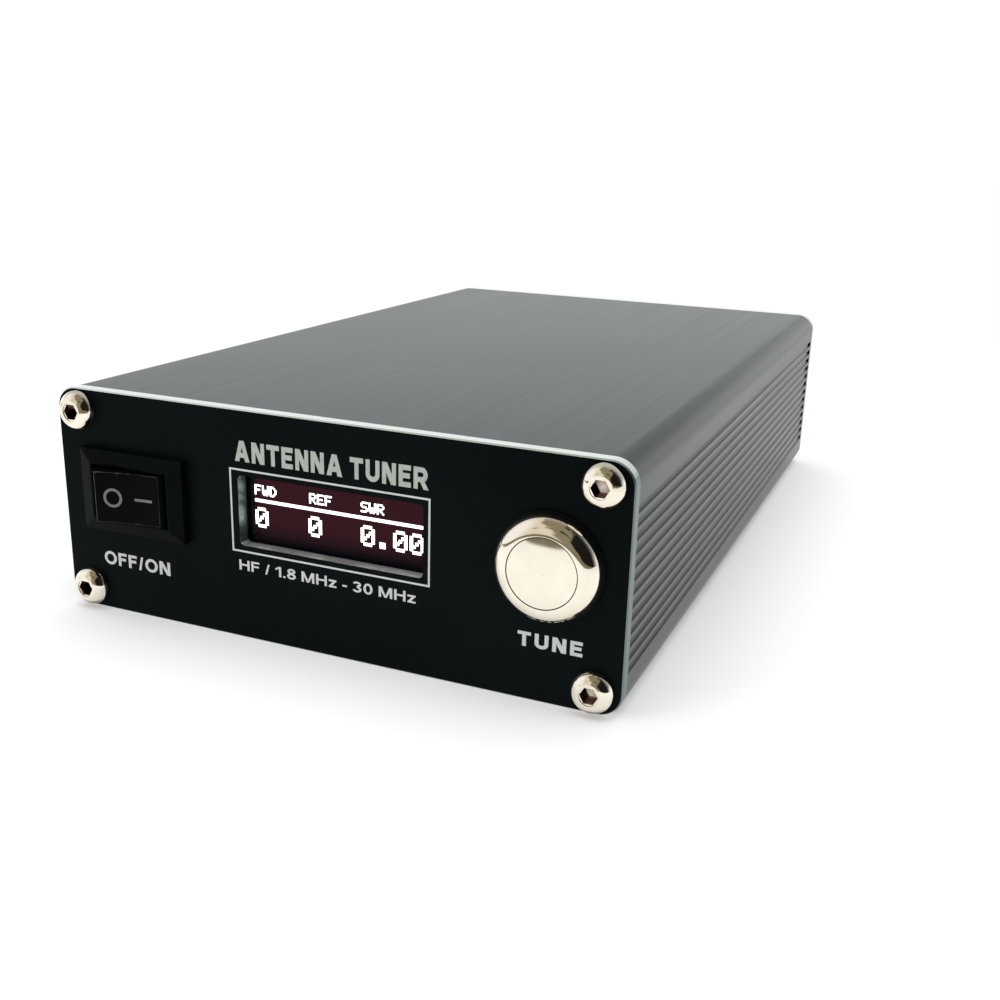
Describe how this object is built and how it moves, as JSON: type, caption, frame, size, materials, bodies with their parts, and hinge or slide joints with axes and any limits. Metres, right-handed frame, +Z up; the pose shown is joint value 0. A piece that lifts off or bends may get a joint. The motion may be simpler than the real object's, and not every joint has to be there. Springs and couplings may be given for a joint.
{
  "type": "antenna tuner",
  "caption": "Automatic HF antenna tuner in a ribbed aluminium case, with a display window, a rocker power switch, a round tune button and two threaded coaxial sockets behind.",
  "frame": {"origin": "centre of the flat underside of the case", "axes": "+X to the right as seen from the front, +Y from the front panel to the rear panel, +Z up"},
  "size_m": [0.0974, 0.1723, 0.0375],
  "materials": {
    "anodised_case": "satin dark anodised extrusion",
    "panel_black": "matte black anodised plate with bare edges",
    "polished_nickel": "polished",
    "switch_plastic": "matte",
    "rocker_plastic": "satin",
    "contact_brass": "bare",
    "spring_steel": "bare wire",
    "seal_rubber": "matte",
    "button_base_plastic": "matte",
    "display_glass": "dark polished",
    "display_board": "solder mask",
    "gasket_foam": "foam",
    "header_plastic": "matte",
    "circuit_board": "solder mask",
    "relay_case": "moulded",
    "powdered_iron": "painted core",
    "ferrite": "sintered",
    "enamelled_copper": "enamelled",
    "ceramic_chip": "ceramic",
    "chip_plastic": "moulded",
    "capacitor_can": "bare",
    "connector_plastic": "moulded",
    "socket_nickel": "plated",
    "socket_insulator": "moulded",
    "socket_contact": "silver plated",
    "usb_steel": "drawn",
    "usb_tongue": "moulded",
    "lamp_lens": "diffused",
    "battery_wrap": "foil pouch",
    "lead_insulation": "flexible"
  },
  "bodies": {
    "case": {"front_panel": "panel_black", "rear_panel": "panel_black", "case_top": "anodised_case", "case_bottom": "anodised_case", "front_panel_screws": "polished_nickel", "rear_panel_screws": "polished_nickel", "switch_housing": "switch_plastic", "switch_terminals": "contact_brass", "tune_button_housing": "polished_nickel", "tune_button_seal": "seal_rubber", "tune_button_nut": "polished_nickel", "tune_button_spring": "spring_steel", "tune_button_base": "button_base_plastic", "tune_button_terminals": "contact_brass", "display_glass": "display_glass", "display_board": "display_board", "display_gasket": "gasket_foam", "display_header": "header_plastic", "main_board": "circuit_board", "inductor_relays": "relay_case", "capacitor_relays": "relay_case", "mode_relay": "relay_case", "large_toroid_cores": "powdered_iron", "large_toroid_windings": "enamelled_copper", "small_toroid_cores": "powdered_iron", "small_toroid_windings": "enamelled_copper", "air_coils": "enamelled_copper", "tuning_capacitors": "ceramic_chip", "coupler_cores": "ferrite", "coupler_windings": "enamelled_copper", "microcontroller": "chip_plastic", "relay_drivers": "chip_plastic", "voltage_regulator": "chip_plastic", "filter_capacitors": "capacitor_can", "board_connectors": "connector_plastic", "antenna_socket_shell": "socket_nickel", "antenna_socket_insulator": "socket_insulator", "antenna_socket_contact": "socket_contact", "radio_socket_shell": "socket_nickel", "radio_socket_insulator": "socket_insulator", "radio_socket_contact": "socket_contact", "socket_screws": "polished_nickel", "socket_nuts": "socket_nickel", "charger_board": "circuit_board", "usb_socket_shell": "usb_steel", "usb_socket_tongue": "usb_tongue", "charge_lamp": "lamp_lens", "battery": "battery_wrap", "switch_wires": "lead_insulation", "button_wires": "lead_insulation", "display_wires": "lead_insulation", "battery_wires": "lead_insulation", "rf_leads": "lead_insulation"},
    "rocker": {"switch_rocker": "rocker_plastic", "switch_spring": "spring_steel", "switch_plunger": "connector_plastic"},
    "contact_lever": {"switch_contact_lever": "contact_brass"},
    "tune_button": {"tune_button_cap": "polished_nickel", "tune_button_contact": "contact_brass"}
  },
  "joints": [
    {"name": "power_rocker", "type": "hinge", "parent": "case", "child": "rocker", "pos_m": [-0.03385, -0.0765, 0.0213], "axis": [0, 0, -1], "range_deg": [0, 21]},
    {"name": "contact_rock", "type": "hinge", "parent": "case", "child": "contact_lever", "pos_m": [-0.03385, -0.0688, 0.0213], "axis": [0, 0, 1], "range_deg": [0, 16]},
    {"name": "tune_press", "type": "slide", "parent": "case", "child": "tune_button", "axis": [0, 1, 0], "range_m": [0, 0.002], "stiffness_N_per_m": 800, "springref_m": -0.002, "deforming": ["tune_button_spring"]}
  ],
  "couplings": [
    {"joint": "contact_rock", "follows": "power_rocker", "ratio": 0.76}
  ]
}
